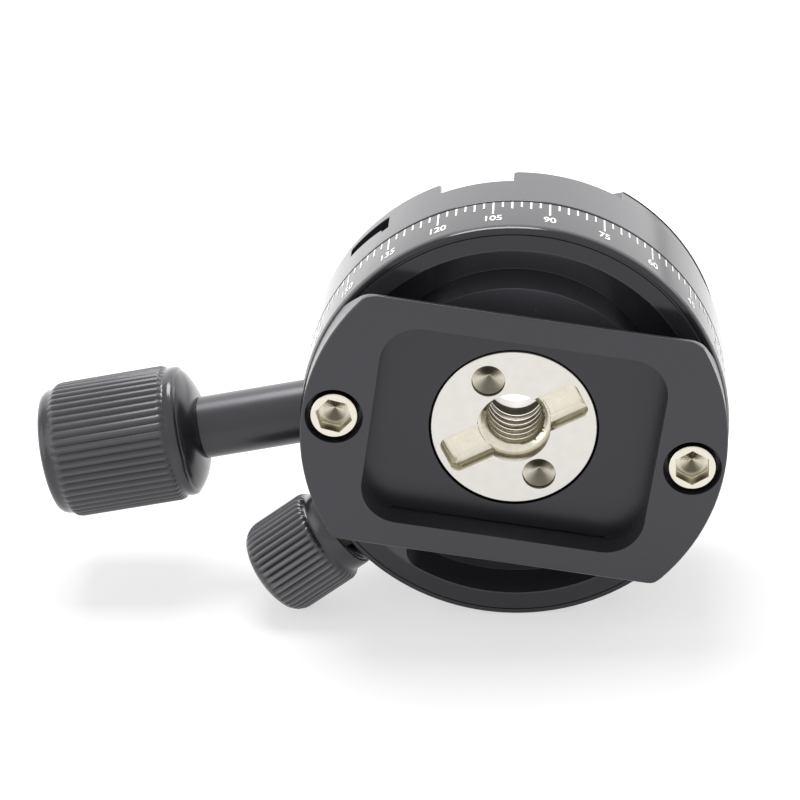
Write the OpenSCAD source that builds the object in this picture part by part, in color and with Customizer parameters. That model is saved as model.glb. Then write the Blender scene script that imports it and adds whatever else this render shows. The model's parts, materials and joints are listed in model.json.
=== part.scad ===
// Panoramic tripod head: dovetail foot, degree dial, rotating clamp with long-stem knob.
// Upright: +Z is the pan axis, z = 0 is the face of the foot, +X points to the clamp knob.

/* [Foot] */
// Radius of the round ends of the foot
foot_r = 30; // [29.5:0.1:31]
// Thickness of the dovetail slab
foot_t = 5.4; // [5.2:0.1:5.6]
// Width across the two dovetail flats
dovetail_w = 38.1; // [37.6:0.1:39]
// Height of the upright lip below the 45 degree undercut
dovetail_lip = 0.8; // [0.6:0.1:1.2]
// Length of the pocket along the flats
pocket_l = 40.4; // [39:0.2:41]
// Width of the pocket across the flats
pocket_w = 30.2; // [28:0.2:31]
// Depth of the pocket
pocket_d = 4.8; // [4.6:0.1:5]
// Corner radius of the pocket
pocket_r = 5.5; // [4:0.5:7]
// Distance of each foot screw in from the round ends
foot_screw_in = 4.6; // [4.4:0.1:5]
// Radius of the foot screw heads
foot_head_r = 3.4; // [3.2:0.1:3.5]

/* [Tripod bush] */
// Radius of the bright flange
flange_r = 11.85; // [11.5:0.05:12.2]
// Thickness of the flange
flange_t = 3.6; // [3.5:0.1:3.8]
// Bore radius, the minor radius of the 3/8 inch tripod thread
bush_bore_r = 4; // [3.9:0.05:4.1]
// Radius of the shank that carries the pan bearing
shank_r = 6.5; // [6.3:0.1:6.7]
// Width of the cross slot in the flange
slot_w = 5.4; // [5:0.1:5.8]
// Length of the cross slot
slot_l = 21.5; // [20:0.1:21.8]
// Depth of the cross slot
slot_d = 2.5; // [2:0.1:2.7]
// Radius of the two spanner holes
spanner_r = 2.35; // [2:0.05:2.5]

/* [Dial and pan bearing] */
// Amount the dial ring stands out beyond the foot
ring_step = 0.4; // [0.2:0.1:0.8]
// Height of the dial ring
ring_h = 9.6; // [9.4:0.1:10]
// Gap seen as the seam between dial ring and clamp
seam_gap = 0.25; // [0.2:0.05:0.4]
// Width of the rim round the recess under the dial ring
rim_w = 3.7; // [3.2:0.1:4.2]
// Outer radius of the bearing plate that the brake presses on
plate_r = 19; // [18.8:0.1:19.2]
// Running clearance on the radius of every turning fit
run_gap = 0.05; // [0.03:0.01:0.08]
// Turn of the base against the clamp at rest, as in the photograph
pan_rest = 19.4; // [0:0.2:40]

/* [Clamp] */
// Height of the clamp body from seam to plate seat
clamp_h = 11.85; // [11.6:0.05:12.2]
// Height of the jaws above the plate seat
jaw_h = 5.8; // [5.4:0.1:6.4]
// Length of both jaws
jaw_l = 44.8; // [44:0.2:45]
// Distance of the fixed jaw root from the pan axis
fixed_root = 19.2; // [19:0.1:19.6]
// Distance of the moving jaw root from the pan axis at rest
moving_root = 17.2; // [17:0.1:17.6]
// Width of the centre groove
groove_w = 10.6; // [10:0.1:11]
// Depth of the centre groove below the plate seat
groove_d = 4; // [3.8:0.1:4.1]
// Radius of the hole through the clamp floor
floor_hole_r = 4.25; // [4.1:0.05:4.5]
// Travel of the jaw towards the fixed jaw
jaw_close = 0.5; // [0.3:0.1:0.5]
// Travel of the jaw away from the fixed jaw
jaw_open = 2.4; // [2:0.1:2.4]

/* [Clamp knob] */
// Radius over the ribs
knob_r = 10.1; // [9.5:0.1:11]
// Length of the ribbed band
knob_rib_l = 16.8; // [15:0.2:19]
// Number of ribs
knob_ribs = 52; // [44:2:60]
// Radius of the smooth stem
stem_r = 4.6; // [4.2:0.1:4.8]
// Distance from the pan axis to the knob end of the stem
stem_end = 47.2; // [45:0.2:50]
// Radius of the clamp screw
clamp_screw_r = 2.5; // [2.4:0.05:2.6]

/* [Pan lock knob] */
// Radius over the ribs
lock_r = 7.27; // [7:0.05:7.6]
// Length of the ribbed band
lock_rib_l = 9; // [8:0.2:10]
// Number of ribs
lock_ribs = 42; // [36:2:46]
// Height of the lock screw axis
lock_z = 10.4; // [10.2:0.1:10.5]
// Radius of the lock screw
lock_screw_r = 3; // [2.9:0.05:3.1]
// Distance of the brake shoe from the bearing plate at rest
brake_gap = 0.3; // [0.25:0.05:0.4]

/* [Hidden] */
$fn = 96;
eps = 0.01;
// Small overlap used where a cut has to break through a face
cut = 1;
// Gap between flat faces of pieces that slide on each other
slide_gap = 0.15;
// Gap between pieces of one body that are screwed or pressed together
seat_gap = 0.02;

// Foot, its screws and the boss that locates it in the dial ring
half_w = dovetail_w / 2;
edge_cut = 0.2;
corner_r = 3;
corner_x = sqrt(pow(foot_r - corner_r, 2) - pow(half_w - corner_r, 2));
corner_y = half_w - corner_r;
corner_far = foot_r / (foot_r - corner_r) + 0.1;
boss_r = 15.5;
boss_gap = 0.1;
boss_h = 2.6;
boss_top = foot_t + boss_h;
foot_screw_at = foot_r - foot_screw_in;
foot_screw_r = 2;
foot_head_gap = 0.7;
foot_head_top = 3.4;
foot_head_in = 0.15;
foot_hex_r = 2.62;
foot_hex_d = 2.2;
foot_hex_turn = [20.8, 5.8];
foot_screw_l = 5.6;
foot_screw_top = foot_t + foot_screw_l;
drill_tip = 0.9;

// Bush in the foot
flange_gap = 0.2;
flange_hole_r = flange_r + flange_gap;
flange_top = pocket_d + flange_t;
slot_turn = 145;
slot_r = 1.2;
slot_fillet = 1.2;
slot_floor = pocket_d + slot_d;
mouth_r = bush_bore_r + 1.2;
mouth_cone = 0.8;
spanner_at = 8.05;
spanner_d = 0.9;
spanner_tip = 1.4;

// Dial ring
ring_r = foot_r + ring_step;
ring_top = foot_t + ring_h;
ring_chamfer = 0.7;
recess_r = ring_r - rim_w;
rim_groove_r = ring_r - 1.3;
rim_groove_w = 0.35;
rim_groove_d = 0.25;
web_t = 1.8;
web_top = flange_top + web_t;
cavity_gap = 0.7;
cavity_r = plate_r + cavity_gap;
recess_wall = 1.5;
recess_in = cavity_r + recess_wall;
recess_roof = 2.6;
recess_top = ring_top - recess_roof;
recess_turns = [[50, 130], [230, 293.5]];
lock_turn = -45;
lock_bore_r = lock_screw_r + run_gap;

// Stack of the pan bearing
washer_t = 0.4;
washer_r = 13.5;
washer_gap = 0.3;
plate_t = 2.8;
plate_bottom = web_top + washer_t;
plate_top = plate_bottom + plate_t;
nut_h = 3.8;
nut_r = 9;
nut_bottom = plate_top + washer_t + 2 * seat_gap;
nut_top = nut_bottom + nut_h;
nut_slot = 3;
shank_top = nut_top + 0.4;

// Countersunk screws of the bearing plate
plate_screw_at = 16.2;
plate_screw_r = 1.25;
plate_head_r = 2.4;
plate_head_h = 1.15;
plate_head_gap = 0.05;
plate_screw_bite = 3.8;
plate_screw_l = plate_t + plate_screw_bite;
plate_hex_r = 0.85;
plate_hex_d = 0.8;

// Clamp body
body_bottom = ring_top + seam_gap;
seat = body_bottom + clamp_h;
groove_floor = seat - groove_d;
relief_w = 23;
relief_z = seat - 0.5;
nut_room_gap = 0.5;
nut_room_r = nut_r + nut_room_gap;
nut_room_top = nut_top + 2 * nut_room_gap;
throat_r = 6;
throat_top = groove_floor - 2.4;
jaw_top = seat + jaw_h;
jaw_lip = 0.9;
jaw_reach = 3.4;
rim_cut = 0.5;
jaw_r = ring_r - rim_cut;
jaw_chamfer = 2;

// Moving jaw and its pocket
knob_z = seat - 4.4;
block_back = 3.2;
block_front = 4.2;
block_in = moving_root - block_back;
block_out = moving_root + block_front;
stop_gap = 0.1;
pocket_in = block_in - jaw_close - stop_gap;
pocket_out = block_out + jaw_open + stop_gap;
jaw_pocket_w = 33;
side_gap = 0.3;
block_w = jaw_pocket_w - 2 * side_gap;
guide_floor = knob_z - 1.8;
block_bottom = guide_floor + slide_gap;
window_w = 6.5;
window_floor = knob_z - 2.55;
window_top = knob_z + 1.5;
window_step = 0.8;
window_step_w = 1.1;
window_rise = 1.4;
window_top_rise = 0.65;
key_r = 0.95;
key_x = moving_root - 1.4;
key_z = window_top - key_r - slide_gap;
key_in = 9;
key_out = 24.4;
lug_w = 14.4;
lug_drop = 4.2;
screw_hole_r = clamp_screw_r + 0.08;
clip_groove = 0.4;
clip_t = 0.8;
clip_in = block_in + 0.2;
clip_r = clamp_screw_r + 1.4;
clip_room = 0.2;
clip_mouth = 2.4;

// Clamp knob along +X
screw_tip = throat_r + 1.4;
journal_r = 3.5;
stem_in = block_out + stop_gap;
shoulder = ring_r + jaw_close + stop_gap;
knob_cap = 4.1;
knob_groove = 0.35;
knob_neck = 0.75;
rib_start = stem_end + knob_cap;
rib_end = rib_start + knob_rib_l;
knob_end_l = 2.3;
knob_end = rib_end + knob_end_l;
knob_screw_in = 6;
screw_out = rib_end - knob_screw_in;

// Pan lock along the lock direction
shoe_in = plate_r + brake_gap;
shoe_l = 2.8;
shoe_gap = 0.02;
shoe_out = shoe_in + shoe_l;
lock_gap = 0.4;
lock_neck_l = 3.2;
lock_groove = 0.35;
lock_neck_in = ring_r + lock_gap;
lock_neck_r = lock_r - 0.8;
lock_rib_in = lock_neck_in + lock_neck_l;
lock_rib_out = lock_rib_in + lock_rib_l;
lock_crown = 2;
lock_end = lock_rib_out + lock_crown;
lock_screw_out = lock_rib_out - 2;
lock_cup_r = lock_screw_r + 1.4;
lock_cup_d = 2.2;

// Round level in the fixed jaw
level_x = -22.4;
level_r = 4.4;
level_d = 4;
level_wall = 0.5;
level_floor = 0.6;
level_sink = 0.1;
lens_t = 1.1;
vial_r = level_r - level_wall - seat_gap;
lens_bottom = jaw_top - level_sink - lens_t;

// Turns a base piece into the rest pose of the photograph
module base_turned() {
    rotate([0, 0, pan_rest]) children();
}

// Lays a piece drawn along Z onto the clamp knob axis
module on_knob_axis() {
    translate([0, 0, knob_z]) rotate([0, 90, 0]) children();
}

// Lays a piece drawn along Z onto the lock knob axis
module on_lock_axis() {
    rotate([0, 0, pan_rest + lock_turn]) translate([0, 0, lock_z]) rotate([0, 90, 0]) children();
}

// Cylinder between two heights
module tube_cut(r, z0, z1) {
    translate([0, 0, z0]) cylinder(r = r, h = z1 - z0);
}

// Flat ring between two heights
module ring(r_out, r_in, z0, z1) {
    difference() {
        tube_cut(r_out, z0, z1);
        tube_cut(r_in, z0 - cut, z1 + cut);
    }
}

// Mirrors a piece into one of the four quarters round the pan axis
module to_quarter(sx, sy) {
    mirror([sx < 0 ? 1 : 0, 0, 0]) mirror([0, sy < 0 ? 1 : 0, 0]) children();
}

// Block with rounded upright corners
module round_block(l, w, r, z0, z1) {
    translate([-l / 2 + r, -w / 2, z0]) cube([l - 2 * r, w, z1 - z0]);
    translate([-l / 2, -w / 2 + r, z0]) cube([l, w - 2 * r, z1 - z0]);
    for (sx = [-1, 1], sy = [-1, 1])
        translate([sx * (l / 2 - r), sy * (w / 2 - r), 0]) tube_cut(r, z0, z1);
}

// Ribbed outline of a grip with straight ribs
module rib_outline(r, n, depth) {
    step = 360 / n;
    polygon([for (i = [0 : n - 1], k = [0 : 3])
        let (a = i * step + [0, 0.16, 0.5, 0.66][k] * step, q = k == 0 || k == 3 ? r - depth : r)
        [q * cos(a), q * sin(a)]]);
}

// Foot with two 45 degree dovetail flats, pocket and screw seats
module dovetail_foot() {
    color([0.28, 0.28, 0.30]) base_turned() difference() {
        union() {
            intersection() {
                union() {
                    tube_cut(foot_r, edge_cut, foot_t);
                    cylinder(r1 = foot_r - edge_cut, r2 = foot_r, h = edge_cut);
                }
                translate([-foot_r - cut, 0, 0]) rotate([90, 0, 90])
                    linear_extrude(height = 2 * foot_r + 2 * cut)
                    polygon([[-half_w + edge_cut, 0], [half_w - edge_cut, 0], [half_w, edge_cut],
                             [half_w, dovetail_lip], [half_w - foot_t + dovetail_lip, foot_t],
                             [-half_w + foot_t - dovetail_lip, foot_t],
                             [-half_w, dovetail_lip], [-half_w, edge_cut]]);
            }
            tube_cut(boss_r, foot_t - eps, boss_top);
        }
        // Rounded corners where the flats meet the round ends
        for (sx = [-1, 1], sy = [-1, 1]) to_quarter(sx, sy) difference() {
            translate([0, 0, -cut]) linear_extrude(height = foot_t + cut - eps)
                polygon([[corner_x, corner_y], [corner_x, half_w + cut],
                         [foot_r, half_w + cut], [corner_x * corner_far, corner_y * corner_far]]);
            translate([corner_x, corner_y, 0]) tube_cut(corner_r, -2 * cut, foot_t + cut);
        }
        round_block(pocket_l, pocket_w, pocket_r, -cut, pocket_d);
        tube_cut(flange_hole_r, 0, boss_top + cut);
        for (s = [-1, 1]) translate([s * foot_screw_at, 0, 0]) {
            tube_cut(foot_head_r + foot_head_gap, -cut, foot_head_top);
            tube_cut(foot_screw_r + 0.1, 0, foot_t + cut);
        }
    }
}

// Two socket screws that hold the foot to the dial ring
module foot_screws() {
    color([0.80, 0.78, 0.72]) base_turned() for (s = [-1, 1]) translate([s * foot_screw_at, 0, 0])
        difference() {
            union() {
                translate([0, 0, foot_head_in])
                    cylinder(r1 = foot_head_r - edge_cut, r2 = foot_head_r, h = edge_cut);
                tube_cut(foot_head_r, foot_head_in + edge_cut, foot_head_top);
                tube_cut(foot_screw_r, foot_head_top, foot_screw_top);
            }
            rotate([0, 0, s < 0 ? foot_hex_turn[0] : foot_hex_turn[1]]) translate([0, 0, -cut])
                cylinder(r = foot_hex_r, h = foot_hex_d + cut, $fn = 6);
            translate([0, 0, foot_hex_d - eps]) cylinder(r1 = 0.8 * foot_hex_r, r2 = 0.1, h = drill_tip);
        }
}

// Section of the cross slot with rounded floor corners
module slot_section(w) {
    side = w / 2 - slot_fillet;
    low = slot_floor - slot_fillet;
    polygon(concat([[-w / 2, 0], [w / 2, 0]],
        [for (a = [0 : 15 : 90]) [side + slot_fillet * cos(a), low + slot_fillet * sin(a)]],
        [for (a = [90 : 15 : 180]) [slot_fillet * cos(a) - side, low + slot_fillet * sin(a)]]));
}

// Cross slot with rounded corners
module cross_slot() {
    intersection() {
        round_block(slot_l, slot_w, slot_r, 0, slot_floor + cut);
        translate([-slot_l, 0, 0]) rotate([90, 0, 90]) linear_extrude(height = 2 * slot_l)
            slot_section(slot_w);
        translate([0, slot_l, 0]) rotate([90, 0, 0]) linear_extrude(height = 2 * slot_l)
            slot_section(slot_l);
    }
}

// Bright flanged bush with the tripod thread, slot and spanner holes
module tripod_bush() {
    color([0.90, 0.89, 0.85]) base_turned() difference() {
        union() {
            translate([0, 0, pocket_d]) cylinder(r1 = flange_r - edge_cut, r2 = flange_r, h = edge_cut);
            tube_cut(flange_r, pocket_d + edge_cut, flange_top);
            tube_cut(shank_r, flange_top - eps, shank_top);
        }
        tube_cut(bush_bore_r, 0, shank_top + cut);
        tube_cut(mouth_r, 0, slot_floor);
        translate([0, 0, slot_floor - eps])
            cylinder(r1 = mouth_r - 0.2, r2 = bush_bore_r, h = mouth_cone);
        rotate([0, 0, slot_turn]) cross_slot();
        for (s = [-1, 1]) rotate([0, 0, slot_turn - 90]) translate([s * spanner_at, 0, 0]) {
            tube_cut(spanner_r, 0, pocket_d + spanner_d);
            translate([0, 0, pocket_d + spanner_d - eps]) cylinder(r1 = spanner_r, r2 = 0.1, h = spanner_tip);
        }
    }
}

// Curved recess with round ends, between two turns about the pan axis
module ring_recess(from, to) {
    steps = 24;
    middle = (recess_r + recess_in) / 2;
    round_r = (recess_r - recess_in) / 2;
    turns = [for (i = [0 : steps]) from + (to - from) * i / steps];
    translate([0, 0, foot_t - cut]) linear_extrude(height = recess_top - foot_t + cut) polygon(concat(
        [for (a = turns) [recess_r * cos(a), recess_r * sin(a)]],
        [for (a = [15 : 15 : 165])
            [middle * cos(to) + round_r * cos(to + a), middle * sin(to) + round_r * sin(to + a)]],
        [for (i = [0 : steps]) [recess_in * cos(turns[steps - i]), recess_in * sin(turns[steps - i])]],
        [for (a = [195 : 15 : 345])
            [middle * cos(from) + round_r * cos(from + a), middle * sin(from) + round_r * sin(from + a)]]));
}

// Dial ring: fixed housing with the degree scale, bearing room and lock bore
module base_ring() {
    color([0.30, 0.30, 0.32]) base_turned() difference() {
        union() {
            translate([0, 0, foot_t])
                cylinder(r1 = ring_r - ring_chamfer, r2 = ring_r, h = ring_chamfer);
            tube_cut(ring_r, foot_t + ring_chamfer, ring_top - edge_cut);
            translate([0, 0, ring_top - edge_cut])
                cylinder(r1 = ring_r, r2 = ring_r - edge_cut, h = edge_cut);
        }
        // Room for the bearing plate
        tube_cut(cavity_r, web_top, ring_top + cut);
        // Seat of the foot's boss, and two recesses clear of the foot screws and the lock
        tube_cut(boss_r + boss_gap, foot_t - cut, boss_top);
        for (ends = recess_turns) ring_recess(ends[0], ends[1]);
        // Turned line on the rim
        ring(rim_groove_r + rim_groove_w, rim_groove_r, foot_t - cut, foot_t + rim_groove_d);
        tube_cut(flange_hole_r, foot_t, flange_top);
        tube_cut(shank_r + run_gap, foot_t, web_top + cut);
        for (s = [-1, 1]) translate([s * foot_screw_at, 0, 0])
            tube_cut(foot_screw_r + seat_gap, 0, foot_screw_top + 0.4);
        // Radial bore of the lock screw and brake shoe
        rotate([0, 0, lock_turn]) translate([0, 0, lock_z]) rotate([0, 90, 0])
            tube_cut(lock_bore_r, plate_r - 0.6, ring_r + cut);
    }
}

// Plain washer under the bearing plate
module low_washer() {
    color([0.85, 0.83, 0.76]) ring(washer_r, shank_r + washer_gap, web_top, plate_bottom - seat_gap);
}

// Plain washer between bearing plate and spindle nut
module up_washer() {
    color([0.85, 0.83, 0.76]) ring(nut_r, shank_r + washer_gap, plate_top + seat_gap, nut_bottom);
}

// Nut on the shank that keeps the turning clamp on the base
module spindle_nut() {
    color([0.62, 0.62, 0.62]) difference() {
        tube_cut(nut_r, nut_bottom, nut_top);
        tube_cut(shank_r + seat_gap, nut_bottom - cut, nut_top + cut);
        for (a = [0 : 90 : 270]) rotate([0, 0, a])
            translate([nut_r - nut_slot / 2, -nut_slot / 2, nut_top - nut_slot / 2]) cube(nut_slot);
    }
}

// Undercut jaw profile in X and Z, root at x = 0, body towards +X
module jaw_profile(length_x, z0) {
    polygon([[0, z0], [length_x, z0], [length_x, jaw_top], [-jaw_reach + 0.4, jaw_top],
             [-jaw_reach, jaw_top - 0.4], [-jaw_reach, seat + jaw_lip + jaw_reach],
             [0, seat + jaw_lip]]);
}

// Jaw block along Y, cut round and chamfered on the outside
module jaw_block(root, z0, centre_x) {
    intersection() {
        translate([root, jaw_l / 2, 0]) rotate([90, 0, 0]) linear_extrude(height = jaw_l)
            jaw_profile(ring_r, z0);
        rotate([90, 0, 90]) linear_extrude(height = 2 * ring_r)
            polygon([[-jaw_l / 2, z0 - cut], [jaw_l / 2, z0 - cut], [jaw_l / 2, jaw_top - jaw_chamfer],
                     [jaw_l / 2 - jaw_chamfer, jaw_top], [jaw_chamfer - jaw_l / 2, jaw_top],
                     [-jaw_l / 2, jaw_top - jaw_chamfer]]);
        translate([centre_x, 0, 0]) union() {
            tube_cut(jaw_r, z0 - cut, jaw_top - jaw_chamfer);
            translate([0, 0, jaw_top - jaw_chamfer - eps])
                cylinder(r1 = jaw_r, r2 = jaw_r - jaw_chamfer, h = jaw_chamfer + eps);
        }
    }
}

// Turning clamp body with the fixed jaw
module clamp_body() {
    color([0.30, 0.30, 0.32]) difference() {
        union() {
            translate([0, 0, body_bottom]) cylinder(r1 = ring_r - edge_cut, r2 = ring_r, h = edge_cut);
            tube_cut(ring_r, body_bottom + edge_cut, seat - rim_cut);
            translate([0, 0, seat - rim_cut]) cylinder(r1 = ring_r, r2 = jaw_r, h = rim_cut);
            tube_cut(plate_r, plate_top, body_bottom + eps);
            mirror([1, 0, 0]) jaw_block(fixed_root, seat - eps, 0);
        }
        // Centre groove and shallow relief of the plate seat
        translate([0, ring_r + cut, 0]) rotate([90, 0, 0]) linear_extrude(height = 2 * ring_r + 2 * cut)
            polygon([[-groove_w / 2, groove_floor], [groove_w / 2, groove_floor],
                     [groove_w / 2, relief_z - rim_cut], [groove_w / 2 + rim_cut, relief_z],
                     [relief_w / 2, relief_z], [relief_w / 2, seat + cut], [-relief_w / 2, seat + cut],
                     [-relief_w / 2, relief_z], [-groove_w / 2 - rim_cut, relief_z],
                     [-groove_w / 2, relief_z - rim_cut]]);
        // Room of the spindle nut, throat and hole through the floor
        tube_cut(nut_room_r, plate_top - cut, nut_room_top);
        tube_cut(throat_r, plate_top, throat_top);
        tube_cut(floor_hole_r, plate_top, groove_floor + cut);
        // Pocket of the moving jaw with a deeper middle for its lug
        translate([pocket_in, -jaw_pocket_w / 2, guide_floor])
            cube([pocket_out - pocket_in, jaw_pocket_w, seat]);
        translate([pocket_in, -lug_w / 2 - side_gap, knob_z - lug_drop - side_gap])
            cube([pocket_out - pocket_in, lug_w + 2 * side_gap, seat]);
        // Side windows for the keys that hold the jaw down
        translate([0, ring_r + cut, 0]) rotate([90, 0, 0]) linear_extrude(height = 2 * ring_r + 2 * cut)
            polygon([[pocket_in, window_floor], [pocket_in + window_step_w, window_floor],
                     [pocket_in + window_step_w, window_floor + window_step],
                     [pocket_in + window_w, window_floor + window_step + window_rise],
                     [pocket_in + window_w, window_top + window_top_rise], [pocket_in, window_top]]);
        // Thread of the clamp screw and bearing of the stem
        on_knob_axis() tube_cut(clamp_screw_r + run_gap, screw_tip - jaw_close - 0.5, pocket_in + cut);
        on_knob_axis() tube_cut(journal_r + run_gap, pocket_out - cut, ring_r + cut);
        // Seat of the round level
        translate([level_x, 0, 0]) tube_cut(level_r + seat_gap, jaw_top - level_d, jaw_top + cut);
        // Screw holes of the bearing plate
        for (a = [45 : 90 : 315]) rotate([0, 0, a]) translate([plate_screw_at, 0, 0])
            tube_cut(plate_screw_r + seat_gap, plate_top - cut, plate_bottom + plate_screw_l + 0.4);
    }
}

// Plate under the clamp body that runs on the shank and takes the brake
module bearing_plate() {
    color([0.70, 0.62, 0.42]) difference() {
        tube_cut(plate_r, plate_bottom, plate_top);
        tube_cut(shank_r + run_gap, plate_bottom - cut, plate_top + cut);
        for (a = [45 : 90 : 315]) rotate([0, 0, a]) translate([plate_screw_at, 0, plate_bottom]) {
            tube_cut(plate_screw_r + plate_head_gap, -cut, plate_t + cut);
            translate([0, 0, -eps]) cylinder(r1 = plate_head_r + 2 * plate_head_gap,
                r2 = plate_screw_r + plate_head_gap, h = plate_head_h + plate_head_gap);
        }
    }
}

// Four countersunk screws of the bearing plate
module plate_screws() {
    color([0.55, 0.55, 0.56])
        for (a = [45 : 90 : 315]) rotate([0, 0, a]) translate([plate_screw_at, 0, plate_bottom])
            difference() {
                union() {
                    translate([0, 0, plate_head_gap])
                        cylinder(r1 = plate_head_r, r2 = plate_screw_r, h = plate_head_h);
                    tube_cut(plate_screw_r, plate_head_h + plate_head_gap - eps, plate_screw_l);
                }
                translate([0, 0, -cut]) cylinder(r = plate_hex_r, h = plate_hex_d + cut, $fn = 6);
            }
}

// Cup of the round level
module level_cup() {
    color([0.78, 0.70, 0.45]) translate([level_x, 0, 0]) difference() {
        tube_cut(level_r, jaw_top - level_d, jaw_top - level_sink);
        tube_cut(level_r - level_wall, jaw_top - level_d + level_floor, jaw_top + cut);
    }
}

// Tinted liquid of the round level
module level_fluid() {
    color([0.65, 0.85, 0.25]) translate([level_x, 0, 0])
        tube_cut(vial_r, jaw_top - level_d + level_floor, lens_bottom);
}

// Clear lens that closes the round level
module level_lens() {
    color([0.88, 0.93, 0.92]) translate([level_x, 0, 0])
        tube_cut(vial_r, lens_bottom, jaw_top - level_sink);
}

// Moving jaw: undercut jaw above, guide block and screw lug in the pocket
module moving_jaw() {
    color([0.30, 0.30, 0.32]) difference() {
        union() {
            jaw_block(moving_root, seat + slide_gap, -jaw_open);
            translate([moving_root, -block_w / 2, block_bottom])
                cube([block_out - moving_root, block_w, seat + jaw_lip - block_bottom]);
            translate([block_in, -block_w / 2, block_bottom])
                cube([block_out - block_in, block_w, relief_z - block_bottom]);
            translate([block_in, -lug_w / 2, knob_z - lug_drop])
                cube([block_out - block_in, lug_w, lug_drop]);
        }
        on_knob_axis() tube_cut(screw_hole_r, block_in - cut, block_out + cut);
        on_knob_axis() tube_cut(clip_r + clip_room, block_in - cut, clip_in + clip_t + clip_room);
        for (s = [-1, 1]) translate([key_x, 0, key_z]) rotate([-90 * s, 0, 0])
            tube_cut(key_r + seat_gap, key_in, block_w);
    }
}

// Two keys through the side windows that hold the jaw down
module jaw_keys() {
    color([0.45, 0.45, 0.47]) for (s = [-1, 1]) translate([key_x, 0, key_z]) rotate([-90 * s, 0, 0])
        tube_cut(key_r, key_in, key_out);
}

// Ribbed grip of the clamp knob
module clamp_knob() {
    color([0.27, 0.27, 0.29]) on_knob_axis() difference() {
        union() {
            rotate_extrude() polygon([[0, stem_end], [stem_r + 0.07 * knob_cap, stem_end],
                [knob_r - 0.73 * knob_cap, stem_end + 0.22 * knob_cap],
                [knob_r - 0.32 * knob_cap, stem_end + 0.46 * knob_cap],
                [knob_r - knob_neck, stem_end + 0.73 * knob_cap],
                [knob_r - knob_neck, rib_end + 0.5 * knob_end_l],
                [knob_r - 0.45 * knob_end_l, rib_end + 0.75 * knob_end_l],
                [knob_r - 0.75 * knob_end_l, knob_end], [0, knob_end]]);
            translate([0, 0, rib_start]) linear_extrude(height = knob_rib_l)
                rib_outline(knob_r, knob_ribs, knob_groove);
        }
        tube_cut(clamp_screw_r + seat_gap, stem_end - cut, screw_out + seat_gap);
    }
}

// Smooth stem that carries the knob's push to the jaw
module knob_stem() {
    color([0.24, 0.24, 0.26]) on_knob_axis() difference() {
        union() {
            tube_cut(journal_r, stem_in, shoulder + eps);
            tube_cut(stem_r, shoulder, stem_end - seat_gap);
        }
        tube_cut(clamp_screw_r + seat_gap, stem_in - cut, stem_end + cut);
    }
}

// Steel clamp screw
module clamp_screw() {
    color([0.66, 0.66, 0.66]) on_knob_axis() difference() {
        tube_cut(clamp_screw_r, screw_tip, screw_out);
        ring(clamp_screw_r + cut, clamp_screw_r - clip_groove, clip_in, clip_in + clip_t);
    }
}

// Spring clip in the groove of the clamp screw that draws the jaw back
module screw_clip() {
    color([0.35, 0.35, 0.36]) on_knob_axis() difference() {
        ring(clip_r, clamp_screw_r - clip_groove + seat_gap, clip_in + seat_gap, clip_in + clip_t - seat_gap);
        translate([0, -clip_mouth / 2, 0]) cube([clip_r + cut, clip_mouth, clip_in + clip_t]);
    }
}

// Brake shoe pushed against the bearing plate
module brake_shoe() {
    color([0.76, 0.62, 0.30]) on_lock_axis() tube_cut(lock_screw_r - shoe_gap, shoe_in, shoe_out);
}

// Steel screw of the pan lock
module lock_screw() {
    color([0.72, 0.71, 0.66]) on_lock_axis()
        tube_cut(lock_screw_r, shoe_out + run_gap, lock_screw_out);
}

// Ribbed pan lock knob with a cupped neck
module lock_knob() {
    color([0.27, 0.27, 0.29]) on_lock_axis() difference() {
        union() {
            rotate_extrude() polygon([[0, lock_neck_in], [lock_neck_r, lock_neck_in],
                [lock_neck_r, lock_rib_in - 0.3 * lock_crown], [lock_r - lock_groove, lock_rib_in],
                [lock_r - lock_groove, lock_rib_out],
                [lock_r - 0.35 * lock_crown, lock_rib_out + 0.35 * lock_crown],
                [lock_r - 0.65 * lock_crown, lock_rib_out + 0.7 * lock_crown],
                [lock_r - 1.1 * lock_crown, lock_rib_out + 0.9 * lock_crown],
                [lock_r - 1.7 * lock_crown, lock_end], [0, lock_end]]);
            translate([0, 0, lock_rib_in]) linear_extrude(height = lock_rib_l)
                rib_outline(lock_r, lock_ribs, lock_groove);
        }
        tube_cut(lock_cup_r, lock_neck_in - cut, lock_neck_in + lock_cup_d);
        tube_cut(lock_screw_r + seat_gap, lock_neck_in - cut, lock_screw_out + seat_gap);
    }
}

dovetail_foot();
foot_screws();
tripod_bush();
base_ring();
low_washer();
up_washer();
spindle_nut();
clamp_body();
bearing_plate();
plate_screws();
level_cup();
level_fluid();
level_lens();
moving_jaw();
jaw_keys();
clamp_knob();
knob_stem();
clamp_screw();
screw_clip();
brake_shoe();
lock_screw();
lock_knob();
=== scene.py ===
import json
import math
import bpy
from mathutils import Matrix, Vector


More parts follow.
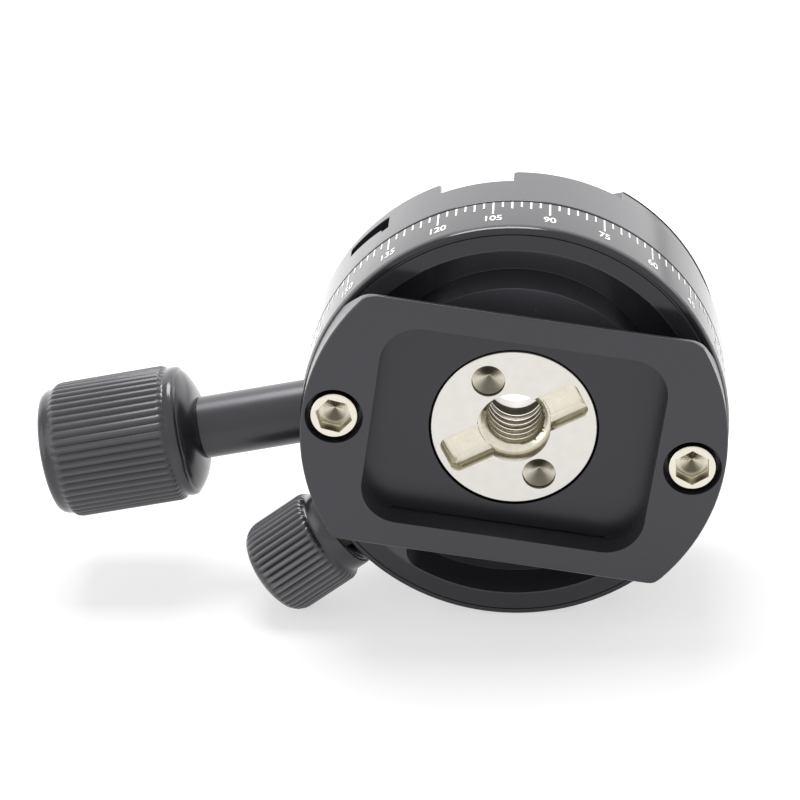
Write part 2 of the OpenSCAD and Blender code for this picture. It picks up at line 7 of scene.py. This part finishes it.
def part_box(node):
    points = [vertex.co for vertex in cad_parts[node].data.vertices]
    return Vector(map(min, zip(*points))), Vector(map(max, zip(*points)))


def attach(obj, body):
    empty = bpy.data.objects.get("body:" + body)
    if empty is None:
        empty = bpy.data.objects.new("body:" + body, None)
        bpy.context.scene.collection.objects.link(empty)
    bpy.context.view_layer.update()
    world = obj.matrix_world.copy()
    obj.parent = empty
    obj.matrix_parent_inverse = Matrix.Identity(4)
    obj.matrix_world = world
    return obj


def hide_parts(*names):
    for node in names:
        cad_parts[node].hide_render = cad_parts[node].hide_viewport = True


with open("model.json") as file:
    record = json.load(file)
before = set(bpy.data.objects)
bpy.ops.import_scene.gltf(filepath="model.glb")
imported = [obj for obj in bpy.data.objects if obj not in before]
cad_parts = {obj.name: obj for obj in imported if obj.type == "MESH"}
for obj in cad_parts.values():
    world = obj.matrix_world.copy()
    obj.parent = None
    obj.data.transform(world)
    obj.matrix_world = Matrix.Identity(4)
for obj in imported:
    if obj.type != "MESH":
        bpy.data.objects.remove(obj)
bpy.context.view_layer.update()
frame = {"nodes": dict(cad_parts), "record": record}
nodes = frame["nodes"]

# Table, light and camera
# The head lies on a white table on its dial ring and its lock knob, with the foot turned to
# the camera. A soft lamp hangs above, a weaker one stands at the left, and a wide one behind
# lights the top of the ring.
mm = 0.001
scene = bpy.context.scene
scene.view_settings.view_transform = "Standard"

camera_at = Vector((-43.7, 187.8, -401.6)) * mm
camera_aim = Vector((15.73, 4.83, 10.0)) * mm
camera_up = Vector((-0.1618, 0.8928, 0.4202))
ahead = (camera_aim - camera_at).normalized()
right = ahead.cross(camera_up).normalized()
camera = bpy.data.objects.new("camera", bpy.data.cameras.new("camera"))
camera.data.sensor_width = 36
camera.data.lens = 143.06
camera.matrix_world = Matrix.Translation(camera_at) @ Matrix(
    (right, right.cross(ahead), -ahead)).transposed().to_4x4()
scene.collection.objects.link(camera)
scene.camera = camera

table_angle = math.radians(99)
table_up = Vector((math.cos(table_angle), math.sin(table_angle), 0))
table_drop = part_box("base_ring")[1].y


class Wire:
    """One value in a material's nodes. Sums and products of wires add Math nodes."""

    def __init__(self, tree, socket):
        self.tree = tree
        self.socket = socket

    def node(self, kind, inputs, output=0, **settings):
        """Adds a node: its settings first, then the value or the link of each socket."""
        made = self.tree.nodes.new(kind)
        for key, value in settings.items():
            setattr(made, key, value)
        for key, value in inputs.items():
            if isinstance(value, Wire):
                self.tree.links.new(value.socket, made.inputs[key])
            else:
                made.inputs[key].default_value = value
        return Wire(self.tree, made.outputs[output]) if made.outputs else None

    def maths(self, operation, first, second=0.0):
        return self.node("ShaderNodeMath", {0: first, 1: second}, operation=operation)

    def __add__(self, other):
        return self.maths("ADD", self, other)

    def __sub__(self, other):
        return self.maths("SUBTRACT", self, other)

    def __mul__(self, other):
        return self.maths("MULTIPLY", self, other)

    def __rsub__(self, other):
        return self.maths("SUBTRACT", other, self)

    __radd__ = __add__
    __rmul__ = __mul__

    def clamped(self):
        return self.node("ShaderNodeClamp", {"Value": self})

    def root(self):
        return self.maths("SQRT", self)

    def axis(self, number):
        """The x, y or z of a vector, by its number."""
        return self.node("ShaderNodeSeparateXYZ", {"Vector": self}, output=number)

    def reach(self):
        """The distance of a place from the Z axis."""
        x, y = self.axis(0), self.axis(1)
        return (x * x + y * y).root()

    def step(self, low, high):
        """Goes from 0 to 1 as the value goes from low to high."""
        return self.node("ShaderNodeMapRange", {"Value": self, "From Min": low, "From Max": high})

    def between(self, first, second):
        """Blends two colours, with this value as the factor."""
        return self.node("ShaderNodeMix", {0: self, 6: first, 7: second}, output=2, data_type="RGBA")


white = (1, 1, 1, 1)
seen_white = 1.0
sky_light = 0.65
table_grey = 0.9
table_glow = 1.03
glow_share = 0.58
world = bpy.data.worlds.new("studio")
scene.world = world
world.use_nodes = True
world.cycles.sampling_method = "NONE"
sky_tree = world.node_tree
rays = sky_tree.nodes.new("ShaderNodeLightPath")
direct = Wire(sky_tree, rays.outputs["Is Camera Ray"])
seen = (direct + Wire(sky_tree, rays.outputs["Is Glossy Ray"])
        + Wire(sky_tree, rays.outputs["Is Transmission Ray"])).clamped()
sky = sky_tree.nodes["Background"]
sky.inputs["Color"].default_value = white
sky_tree.links.new((sky_light + seen * (seen_white - sky_light)).socket, sky.inputs["Strength"])

bpy.ops.object.select_all(action="DESELECT")
bpy.ops.mesh.primitive_plane_add(size=3, location=-table_up * table_drop,
                                 rotation=table_up.to_track_quat("Z", "Y").to_euler())
table = bpy.context.object
table.name = "table"
table_finish = bpy.data.materials.new("white_table")
table_finish.use_nodes = True
table_tree = table_finish.node_tree
table_tree.nodes.clear()
backside = table_tree.nodes.new("ShaderNodeNewGeometry")
start = Wire(table_tree, backside.outputs["Backfacing"])
spot = Wire(table_tree, table_tree.nodes.new("ShaderNodeTexCoord").outputs["Object"])
paper = start.node("ShaderNodeBsdfDiffuse", {"Color": (table_grey, table_grey, table_grey, 1)})
behind = spot.axis(1).step(0.03, 0.12) * (0.45 + spot.axis(0).step(0.15, -0.15) * 0.65)
glow = start.node("ShaderNodeEmission", {"Color": white, "Strength": table_glow + behind})
table_top = start.node("ShaderNodeMixShader", {0: glow_share, 1: paper, 2: glow})
open_back = start.node("ShaderNodeBsdfTransparent", {})
one_sided = start.node("ShaderNodeMixShader", {0: start, 1: table_top, 2: open_back})
start.node("ShaderNodeOutputMaterial", {"Surface": one_sided})
table.data.materials.append(table_finish)

for lamp_name, lamp_at, lamp_wide, lamp_high, lamp_power in (
        ("top_lamp", Vector((-0.04, 0.75, 0.25)), 0.45, 0.35, 5.4),
        ("left_lamp", Vector((1.0, 0.35, -0.3)), 1.0, 0.8, 2.5),
        ("back_lamp", Vector((0, 0.5, 1.0)), 3.0, 1.2, 11.0)):
    lamp = bpy.data.objects.new(lamp_name, bpy.data.lights.new(lamp_name, "AREA"))
    lamp.data.shape = "RECTANGLE"
    lamp.data.size = lamp_wide
    lamp.data.size_y = lamp_high
    lamp.data.energy = lamp_power
    lamp.location = lamp_at
    lamp.rotation_euler = lamp_at.to_track_quat("Z", "Y").to_euler()
    scene.collection.objects.link(lamp)

# Dovetail foot
# A plate milled from black anodised aluminium, with a pocket, two undercut flats and a boss
# that locates it in the dial ring. Every edge is broken so that it doesn't cut the hand.
bodies = frame["record"]["behaviour"]["bodies"]


def start_finish(name):
    """Starts a material and gives its Principled node and its place on the piece in mm."""
    material = bpy.data.materials.new(name)
    material.use_nodes = True
    tree = material.node_tree
    coordinate = tree.nodes.new("ShaderNodeTexCoord")
    place = Wire(tree, coordinate.outputs["Object"])
    place = place.node("ShaderNodeVectorMath", {0: place, "Scale": 1 / mm}, operation="SCALE")
    return material, tree.nodes["Principled BSDF"], place


def feed(shader, **inputs):
    """Sets sockets of a Principled node, named with _ for each space."""
    for key, value in inputs.items():
        socket = shader.inputs[key.replace("_", " ")]
        if isinstance(value, Wire):
            value.tree.links.new(value.socket, socket)
        else:
            socket.default_value = value


def noise(place, size, detail=2.0):
    """Soft noise around 0.5 with blotches of about the given size in mm."""
    return place.node("ShaderNodeTexNoise", {"Vector": place, "Scale": 1 / size, "Detail": detail})


def shade(place, colour, amount):
    """A colour made lighter or darker by an amount that changes over the surface."""
    grey = place.node("ShaderNodeCombineColor", {"Red": amount, "Green": amount, "Blue": amount})
    return place.node("ShaderNodeMix", {0: 1.0, 6: (*colour, 1), 7: grey}, output=2,
                      data_type="RGBA", blend_type="MULTIPLY")


def anodised(name, colour, roughness, grain=0.12, ior=1.62, painted_light=None):
    """Blasted and dyed aluminium: fine grain, clouding, dust, wear with painted highlight on ridges,
    and painted light and shade by place.
    """
    material, shader, place = start_finish(name)
    ridge = place.node("ShaderNodeAttribute", {}, output=2, attribute_name="ridge")
    pressed = place.node("ShaderNodeAttribute", {}, output=2, attribute_name="pressed")
    fine = noise(place, grain)
    cloud = noise(place, 9.0)
    dust = noise(place, 0.35, 0.0).step(0.85, 0.88)
    # The ridge value lightens rib crests: partly wear, partly painted highlight.
    tone = 0.82 + fine * 0.2 + cloud * 0.16 + dust * 1.6 + ridge * 3.0
    # Painted light and shade by place, such as a darker pocket floor on the foot and a lighter recess
    # on the dial.
    if painted_light:
        tone = tone * painted_light(place)
    relief = place.node("ShaderNodeBump", {"Height": fine, "Strength": 0.2, "Distance": 0.008 * mm})
    feed(shader, Base_Color=shade(place, colour, tone), IOR=ior, Specular_Tint=(0.95, 0.93, 1, 1),
         Roughness=roughness - 0.04 + cloud * 0.08 + pressed * 0.14, Normal=relief)
    return material


def carry(piece, nodes_shown):
    """Lets a piece stand for CAD nodes of one body: it is hung on that body and the nodes are hidden.
    """
    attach(piece, next(body for body, members in bodies.items() if nodes_shown[0] in members))
    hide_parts(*nodes_shown)


def pick(piece):
    """Makes a piece the active one and the only one selected."""
    bpy.ops.object.select_all(action="DESELECT")
    piece.select_set(True)
    bpy.context.view_layer.objects.active = piece


def machined(node, name, edge, material, reshape=None):
    """A copy of a CAD node with its edges broken, after a reshape has moved some of its points."""
    piece = bpy.data.objects.new(name, nodes[node].data.copy())
    scene.collection.objects.link(piece)
    pick(piece)
    bpy.ops.mesh.customdata_custom_splitnormals_clear()
    bpy.ops.object.mode_set(mode="EDIT")
    bpy.ops.mesh.select_all(action="SELECT")
    bpy.ops.mesh.remove_doubles(threshold=0.002 * mm)
    bpy.ops.mesh.dissolve_limited(angle_limit=math.radians(0.5))
    bpy.ops.object.mode_set(mode="OBJECT")
    if reshape:
        for point in piece.data.vertices:
            point.co = reshape(point.co)
    round_edges = piece.modifiers.new("round_edges", "BEVEL")
    round_edges.width = edge
    round_edges.segments = 2
    round_edges.limit_method = "ANGLE"
    round_edges.angle_limit = math.radians(30)
    round_edges.use_clamp_overlap = False
    bpy.ops.object.modifier_apply(modifier="round_edges")
    bpy.ops.object.shade_smooth_by_angle(angle=math.radians(30))
    flatten = piece.modifiers.new("flatten", "WEIGHTED_NORMAL")
    flatten.weight = 100
    flatten.keep_sharp = True
    bpy.ops.object.modifier_apply(modifier="flatten")
    piece.data.materials.clear()
    piece.data.materials.append(material)
    carry(piece, [node])
    return piece


def painted_pocket_shade(place):
    """Paints the floor of the pocket darker than the face: painted shade in the recess."""
    return 1 - place.axis(2).step(3.5, 4.7) * 0.85


foot_black = anodised("foot_anodised", (0.02, 0.0195, 0.0225), 0.3, painted_light=painted_pocket_shade)
machined("dovetail_foot", "foot_plate", 0.05 * mm, foot_black)

# Foot screws
# Two nickel plated socket screws that hold the foot to the dial ring. The turned heads keep a warm
# bright rim, and the pressed hexagon sockets are rougher inside, with painted shade on their sides and
# painted glints in their cones.
def plated(name, face, wall, floor, depths, pair_at, hole_r, hole_z, spokes, lean):
    """Bright plating: face, wall and floor colours by depth in mm, the darker wall colour being painted
    shade, and painted glints over painted shade in two holes.
    """
    material, shader, place = start_finish(name)
    x, y, z = place.axis(0), place.axis(1), place.axis(2)
    blotch = noise(place, 1.6, 4.0)
    fine = noise(place, 0.2)
    sunk = z.step(depths[0], depths[1])
    floored = z.step(depths[2], depths[3])
    side = place.maths("SIGN", x * pair_at[0] + y * pair_at[1])
    across, along = x - side * pair_at[0], y - side * pair_at[1]
    glint = place.maths("SINE", place.maths("ARCTAN2", along, across) * spokes + lean) * 0.5 + 0.5
    inside = (across * across + along * along).root().step(hole_r, hole_r - 0.2)
    hole = inside * z.step(hole_z, hole_z + 0.4)
    bright = shade(place, face, 0.94 + blotch * 0.12)
    # Painted shade on the sides of slots and sockets.
    painted_wall_shade = shade(place, wall, 0.6 + blotch * 0.5 + fine * 0.3)
    # Painted highlight lobes in the drilled cones, over painted shade.
    streak = glint * glint * 0.8
    pale = shade(place, floor, 0.8 + blotch * 0.25 + fine * 0.15)
    painted_hole_shade = shade(place, wall, 0.25 + blotch * 0.25)
    plating = hole.between(floored.between(sunk.between(bright, painted_wall_shade), pale),
                           streak.between(painted_hole_shade, pale))
    relief = place.node("ShaderNodeBump", {"Height": fine, "Strength": 0.1, "Distance": 0.008 * mm})
    feed(shader, Base_Color=plating, Metallic=1.0, Normal=relief,
         Roughness=0.12 + blotch * 0.06 + sunk * 0.1)
    return material


pan_rest = math.radians(19.4)
screw_out = 25.4
screw_at = (screw_out * math.cos(pan_rest), screw_out * math.sin(pan_rest))
screw_bright = plated("screw_nickel", face=(0.76, 0.715, 0.62), wall=(0.3, 0.272, 0.185),
                      floor=(0.78, 0.74, 0.6), depths=(0.4, 0.8, 1.9, 2.2), pair_at=screw_at,
                      hole_r=2.3, hole_z=2.0, spokes=2, lean=math.radians(65))
machined("foot_screws", "foot_socket_screws", 0.1 * mm, screw_bright)

# Tripod bush
# A turned steel bush, nickel plated, pressed up through the dial ring. Its flange has a milled
# cross slot and two spanner holes, and its bore carries the coarse tripod thread.
thread_pitch = 1.5875
thread_steps = 48
tooth = ((3.85, -0.74), (4.7, 0.0), (3.85, 0.74))
bush_low, bush_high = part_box("tripod_bush")
thread_start = bush_low.z + 2.6 * mm
thread_turns = math.ceil((bush_high.z - thread_start) / (thread_pitch * mm)) + 1

spanner_out = 8.05
spanner_turn = pan_rest + math.radians(55)
spanner_at = (spanner_out * math.cos(spanner_turn), spanner_out * math.sin(spanner_turn))
# The wall colour is painted shade in the slot and holes, and the spanner holes carry painted glints.
bush_bright = plated("bush_nickel", face=(0.69, 0.672, 0.632), wall=(0.4, 0.375, 0.285),
                     floor=(0.73, 0.69, 0.58), depths=(4.95, 5.5, 5.8, 7.2), pair_at=spanner_at,
                     hole_r=2.45, hole_z=5.0, spokes=2, lean=math.radians(80))
bush = machined("tripod_bush", "threaded_bush", 0.08 * mm, bush_bright)

bpy.ops.object.select_all(action="DESELECT")
bpy.ops.mesh.primitive_circle_add(vertices=3, radius=mm)
tap = bpy.context.object
for corner, (radius, height) in zip(tap.data.vertices, tooth):
    corner.co = (radius * mm, 0, height * mm + thread_start)
cutting = tap.modifiers.new("cutting", "SCREW")
cutting.axis = "Z"
cutting.angle = math.radians(360)
cutting.screw_offset = thread_pitch * mm
cutting.iterations = thread_turns
cutting.steps = cutting.render_steps = thread_steps
bpy.ops.object.modifier_apply(modifier="cutting")
bpy.ops.object.mode_set(mode="EDIT")
bpy.ops.mesh.select_all(action="SELECT")
bpy.ops.mesh.fill_holes(sides=3)
bpy.ops.mesh.normals_make_consistent(inside=False)
bpy.ops.object.mode_set(mode="OBJECT")
bpy.context.view_layer.objects.active = bush
threading = bush.modifiers.new("threading", "BOOLEAN")
threading.operation = "DIFFERENCE"
threading.solver = "EXACT"
threading.object = tap
bpy.ops.object.modifier_apply(modifier="threading")
bpy.data.objects.remove(tap)
pick(bush)
bpy.ops.object.shade_smooth_by_angle(angle=math.radians(30))

# Dial ring
# The fixed ring turned from black anodised aluminium. Its scale is printed in white round the
# side: a line every 2.5 degrees, a longer one every 5, and a number at every 15.
rim_z = 5.5
chamfer_edge = 29.7
chamfer_drawn = 30.08
recess_in, recess_out = 21.0, 26.9
recess_z = 13.0
recess_middle = pan_rest + math.radians(90)
recess_half = math.radians(50)
recess_draw = 1.35


def dial_shape(point):
    """Steepens the lower chamfer, and draws the upper recess out until its ends go under the foot."""
    reach, height = point.xy.length / mm, point.z / mm
    if abs(reach - chamfer_edge) < 0.1 and height < rim_z:
        grow = chamfer_drawn / chamfer_edge
        return Vector((point.x * grow, point.y * grow, point.z))
    turn = math.atan2(point.y, point.x) - recess_middle
    if recess_in < reach < recess_out and height < recess_z and abs(turn) < recess_half:
        return Matrix.Rotation(turn * (recess_draw - 1), 3, "Z") @ point
    return point


def painted_recess_light(place):
    """Painted light: the recesses inside the rim are given a lighter colour, and the ring outside them
    a darker one.
    """
    return 2.6 - place.reach().step(26.5, 27.0) * 2.1


dial_black = anodised("dial_anodised", (0.024, 0.0235, 0.027), 0.16, ior=1.52, painted_light=painted_recess_light)
machined("base_ring", "dial_ring", 0.12 * mm, dial_black, reshape=dial_shape)

print_r = 30.43
zero_at = 200.1
scale_top = 14.6
line_w = 0.27
long_line, middle_line, short_line = 4.2, 2.5, 1.9
line_step, middle_step, number_step = 25, 50, 150
number_z = 8.7
number_size = 2.6
number_narrow = 0.7


def printing_white():
    """Thin screen printed paint, a little uneven."""
    material, shader, place = start_finish("dial_print")
    wear = noise(place, 0.4)
    feed(shader, Base_Color=shade(place, (0.9, 0.9, 0.9), 0.85 + wear * 0.3),
         Roughness=0.5 + wear * 0.1)
    return material


def wrapped(name, pieces, body):
    """Joins flat marks and lays them round the ring: x runs along the rim and y up it."""
    bpy.ops.object.select_all(action="DESELECT")
    for piece in pieces:
        piece.select_set(True)
    marks = pieces[0]
    bpy.context.view_layer.objects.active = marks
    bpy.ops.object.join()
    bpy.ops.object.transform_apply(location=True, rotation=True, scale=True)
    marks.name = marks.data.name = name
    for point in marks.data.vertices:
        turn = point.co.x / (print_r * mm)
        point.co = (print_r * mm * math.cos(turn), print_r * mm * math.sin(turn), point.co.y)
    marks.data.materials.clear()
    marks.data.materials.append(print_white)
    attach(marks, body)
    return marks


def mark_line(turn, low, high, width):
    """One flat printed line at a turn in degrees, between two heights in mm."""
    line = bpy.data.objects.new("line", stroke.copy())
    scene.collection.objects.link(line)
    middle = Vector((math.radians(turn) * print_r, (low + high) / 2, 0)) * mm
    line.data.transform(Matrix.Translation(middle)
                        @ Matrix.Diagonal((width * mm, (high - low) * mm, 1, 1)))
    return line


print_white = printing_white()
bpy.ops.object.select_all(action="DESELECT")
bpy.ops.mesh.primitive_plane_add(size=1)
stroke = bpy.context.object.data
bpy.data.objects.remove(bpy.context.object)

lines = []
numbers = []
for tenths in range(0, 3600, line_step):
    turn = zero_at - tenths / 10
    numbered = tenths % number_step == 0
    length = long_line if numbered else middle_line if tenths % middle_step == 0 else short_line
    lines.append(mark_line(turn, scale_top - length, scale_top, line_w))
    if numbered:
        bpy.ops.object.select_all(action="DESELECT")
        bpy.ops.object.text_add(location=(math.radians(turn) * print_r * mm, number_z * mm, 0))
        number = bpy.context.object
        number.data.body = str(tenths // 10)
        number.data.size = number_size * mm
        number.data.align_x = number.data.align_y = "CENTER"
        number.data.offset = 0.022 * number_size * mm
        number.scale = (number_narrow, 1, 1)
        bpy.ops.object.convert(target="MESH")
        bpy.ops.object.transform_apply(location=True, rotation=True, scale=True)
        numbers.append(bpy.context.object)
wrapped("dial_lines", lines, "base")
wrapped("dial_numbers", numbers, "base")

# Pan bearing
# A brass plate screwed under the clamp runs on the bush between two plastic washers, and a
# slotted steel nut closes the stack. None of it shows while the head is together.
def plain(name, colour, metallic, roughness, streak):
    """A turned part's finish, with fine rings of the given spacing in mm round its axis."""
    material, shader, place = start_finish(name)
    rings = place.maths("SINE", place.reach() * (2 * math.pi / streak))
    mottle = noise(place, 2.5, 3.0)
    relief = place.node("ShaderNodeBump", {"Height": rings, "Strength": 0.15, "Distance": 0.01 * mm})
    feed(shader, Base_Color=shade(place, colour, 0.85 + mottle * 0.3), Metallic=metallic,
         Roughness=roughness + mottle * 0.1, Normal=relief)
    return material


def refinish(material, *named):
    """Gives CAD nodes whose shape is kept their finish."""
    for node in named:
        nodes[node].material_slots[0].material = material


steel = plain("steel", (0.56, 0.56, 0.57), 1.0, 0.28, 0.25)
refinish(plain("washer_plastic", (0.80, 0.78, 0.72), 0.0, 0.45, 0.6), "low_washer", "up_washer")
refinish(plain("bearing_brass", (0.72, 0.56, 0.28), 1.0, 0.25, 0.2), "bearing_plate", "brake_shoe")
refinish(steel, "spindle_nut", "plate_screws", "clamp_screw")

# Clamp body
# The turning half, milled from one black anodised block with the fixed jaw on top. A white line
# on its side reads the dial.
clamp_black = anodised("clamp_anodised", (0.024, 0.0235, 0.027), 0.16, ior=1.52)
clamp = machined("clamp_body", "clamp_block", 0.12 * mm, clamp_black)
clamp.data.materials.append(plain("bored_aluminium", (0.45, 0.43, 0.4), 1.0, 0.4, 0.3))
bore_r = 6.3
bore_low, bore_high = 17.5, 23
for face in clamp.data.polygons:
    middle = face.center / mm
    if middle.xy.length < bore_r and bore_low < middle.z < bore_high:
        face.material_index = 1
wrapped("index_line", [mark_line(270, 15.6, 18.6, 0.35)], "pan_head")

# Round level
# A brass cup let into the fixed jaw, filled with tinted spirit under a clear lens. A bubble
# floats under the lens, inside a printed ring.
level_low, level_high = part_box("level_cup")
level_x = (level_low.x + level_high.x) / 2
lens_low, lens_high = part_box("level_lens")
bubble_r = 1.35 * mm
bubble_flat = 0.4
mark_r = 1.66 * mm
mark_grow = 1.11
refinish(plain("level_brass", (0.75, 0.62, 0.32), 1.0, 0.22, 0.2), "level_cup")

spirit, spirit_shader, spirit_place = start_finish("level_liquid")
spirit_tint = shade(spirit_place, (0.55, 0.85, 0.12), 0.9 + noise(spirit_place, 3.0) * 0.2)
feed(spirit_shader, Base_Color=spirit_tint, Roughness=0.05, Alpha=0.6, IOR=1.36)
refinish(spirit, "level_fluid")
clear, clear_shader, clear_place = start_finish("level_clear")
feed(clear_shader, Base_Color=(0.95, 0.98, 0.97, 1), Roughness=0.02 + noise(clear_place, 1.0) * 0.04,
     Alpha=0.12, IOR=1.49)
refinish(clear, "level_lens")

bpy.ops.object.select_all(action="DESELECT")
bpy.ops.mesh.primitive_uv_sphere_add(segments=32, ring_count=16, radius=bubble_r,
                                     location=(level_x, 0, lens_low.z - 0.25 * mm),
                                     scale=(1, 1, bubble_flat))
bubble = bpy.context.object
bubble.name = bubble.data.name = "level_bubble"
bpy.ops.object.transform_apply(location=True, rotation=True, scale=True)
bpy.ops.object.mode_set(mode="EDIT")
bpy.ops.mesh.select_all(action="SELECT")
bpy.ops.mesh.bisect(plane_co=(level_x, 0, lens_low.z - 0.04 * mm), plane_no=(0, 0, 1),
                    use_fill=True, clear_outer=True)
bpy.ops.object.mode_set(mode="OBJECT")
bpy.ops.object.shade_smooth_by_angle(angle=math.radians(40))
air, air_shader, air_place = start_finish("level_air")
feed(air_shader, Base_Color=shade(air_place, (0.9, 1.0, 0.7), 0.95 + noise(air_place, 0.8) * 0.1),
     Roughness=0.02, Alpha=0.7, IOR=1.1)
bubble.data.materials.append(air)
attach(bubble, "pan_head")

bpy.ops.object.select_all(action="DESELECT")
mark_z = lens_high.z + 0.01 * mm
bpy.ops.mesh.primitive_circle_add(vertices=96, radius=mark_r, location=(level_x, 0, mark_z))
level_ring = bpy.context.object
level_ring.name = level_ring.data.name = "level_ring_mark"
bpy.ops.object.transform_apply(location=True, rotation=True, scale=True)
bpy.ops.object.mode_set(mode="EDIT")
bpy.ops.mesh.select_all(action="SELECT")
bpy.ops.mesh.extrude_region_move()
bpy.ops.transform.resize(value=(mark_grow, mark_grow, 1), center_override=(level_x, 0, mark_z))
bpy.ops.mesh.select_all(action="SELECT")
bpy.ops.mesh.normals_make_consistent(inside=False)
bpy.ops.object.mode_set(mode="OBJECT")
ink, ink_shader, ink_place = start_finish("level_ink")
ink_tone = shade(ink_place, (0.02, 0.02, 0.02), 0.8 + noise(ink_place, 0.3) * 0.4)
feed(ink_shader, Base_Color=ink_tone, Roughness=0.4)
level_ring.data.materials.append(ink)
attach(level_ring, "pan_head")

# Moving jaw
# The sliding jaw, milled from black anodised bar. Steel keys through the side windows of the
# clamp body hold it down while the screw draws it in and out.
machined("moving_jaw", "sliding_jaw", 0.1 * mm, clamp_black)
refinish(plain("clip_steel", (0.12, 0.12, 0.125), 1.0, 0.4, 0.3), "jaw_keys", "screw_clip")

# Clamp knob
# A ribbed grip turned from black anodised aluminium, fixed to a smooth stem over the steel
# clamp screw. The ribs are rolled and fade out at both ends of the grip.
knob_black = anodised("knob_anodised", (0.016, 0.016, 0.017), 0.22, 0.2)
knob_low, knob_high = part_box("clamp_knob")
knob_z = (knob_low.z + knob_high.z) / 2
rib_sides = 8


def turned(name, ribs, stations):
    """Turns a closed piece round Z: a ring of points is drawn along radii and heights in mm."""
    bpy.ops.object.select_all(action="DESELECT")
    radius, height = stations[0]
    bpy.ops.mesh.primitive_circle_add(vertices=ribs * rib_sides, radius=radius * mm,
                                      location=(0, 0, height * mm))
    piece = bpy.context.object
    piece.name = piece.data.name = name
    bpy.ops.object.transform_apply(location=True, rotation=True, scale=True)
    bpy.ops.object.mode_set(mode="EDIT")
    bpy.ops.mesh.select_all(action="SELECT")
    for next_radius, next_height in stations[1:]:
        bpy.ops.mesh.extrude_region_move(
            TRANSFORM_OT_translate={"value": (0, 0, (next_height - height) * mm)})
        grow = next_radius / radius
        bpy.ops.transform.resize(value=(grow, grow, 1), center_override=(0, 0, next_height * mm))
        radius, height = next_radius, next_height
    bpy.ops.mesh.select_all(action="SELECT")
    bpy.ops.mesh.fill_holes(sides=0)
    bpy.ops.mesh.normals_make_consistent(inside=False)
    bpy.ops.object.mode_set(mode="OBJECT")
    return piece


def press_ribs(piece, ribs, start, end, fade, depth, outside, wear_and_sheen):
    """Presses V grooves between rounded ribs into the outside of a turned piece, sizes in mm."""
    piece.data.attributes.new("pressed", "FLOAT", "POINT")
    piece.data.attributes.new("ridge", "FLOAT", "POINT")
    pressed, ridge = piece.data.attributes["pressed"], piece.data.attributes["ridge"]
    for point in piece.data.vertices:
        along = point.co.z / mm
        strength = min(1, max(0, min(along - start, end - along) / fade))
        reach = point.co.xy.length
        if reach < outside * mm:
            continue
        phase = math.atan2(point.co.y, point.co.x) / (2 * math.pi) * ribs % 1
        valley = abs(2 * phase - 1) ** 1.6
        pressed.data[point.index].value = strength
        # Lighter rib crests: partly wear, partly painted highlight.
        ridge.data[point.index].value = wear_and_sheen * strength * (1 - valley) ** 4
        shrink = 1 - depth * mm * strength * valley / reach
        point.co.x *= shrink
        point.co.y *= shrink


def lay_grip(piece, turn, height, node):
    """Lays a grip turned round Z on its axis over the ring, and shades it."""
    piece.matrix_world = (Matrix.Rotation(turn, 4, "Z") @ Matrix.Translation((0, 0, height))
                          @ Matrix.Rotation(math.radians(90), 4, "Y"))
    pick(piece)
    bpy.ops.object.transform_apply(location=True, rotation=True, scale=True)
    bpy.ops.object.shade_smooth_by_angle(angle=math.radians(38))
    piece.data.materials.append(knob_black)
    carry(piece, [node])


knob_ribs = 52
grip = turned("clamp_grip", knob_ribs, (
    (2.54, 62.12), (2.54, 47.25), (4.85, 47.2), (6.2, 47.55), (7.6, 48.15), (8.6, 48.8), (9.05, 49.2),
    (9.1, 49.35), (9.3, 49.42), (9.55, 49.65), (9.65, 50.1), (9.65, 50.6), (9.5, 51.0), (9.6, 51.3),
    (9.95, 51.6), (10.1, 52.1), (10.1, 59.0), (10.1, 67.2), (9.98, 67.8), (9.65, 68.2), (9.42, 68.6),
    (9.35, 69.15), (9.18, 69.7), (8.85, 70.1), (8.3, 70.33), (6.5, 70.4), (3.2, 70.4), (0.6, 70.4)))
press_ribs(grip, knob_ribs, start=51.1, end=68.3, fade=0.8, depth=0.3, outside=9.2, wear_and_sheen=1.0)
lay_grip(grip, 0, knob_z, "clamp_knob")
stem_black = anodised("stem_anodised", (0.015, 0.015, 0.017), 0.3)
machined("knob_stem", "smooth_stem", 0.08 * mm, stem_black)

# Pan lock
# A short ribbed knob on a steel screw that pushes a brass shoe against the bearing plate. The
# neck of the knob is cupped, so the bright shank of the screw shows inside it.
refinish(plain("lock_steel", (0.82, 0.79, 0.68), 0.8, 0.35, 0.2), "lock_screw")
lock_low, lock_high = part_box("lock_knob")
lock_middle = (lock_low + lock_high) / 2
lock_turn = math.atan2(lock_middle.y, lock_middle.x)
lock_ribs = 42
lock_grip = turned("lock_grip", lock_ribs, (
    (3.03, 41.0), (3.03, 33.0), (3.3, 32.9), (4.4, 32.3), (5.8, 30.95), (5.95, 30.82), (6.15, 30.8),
    (6.37, 30.9), (6.47, 31.15), (6.47, 32.9), (6.4, 33.15), (6.5, 33.4), (6.85, 33.65), (7.15, 34.0),
    (7.27, 34.5), (7.27, 38.0), (7.27, 42.2), (7.18, 42.8), (6.9, 43.5), (6.4, 44.1), (5.5, 44.6),
    (4.1, 44.9), (2.2, 45.0), (0.5, 45.0)))
press_ribs(lock_grip, lock_ribs, start=33.5, end=43.7, fade=0.9, depth=0.36, outside=6.6, wear_and_sheen=2.5)
lay_grip(lock_grip, lock_turn, lock_middle.z, "lock_knob")
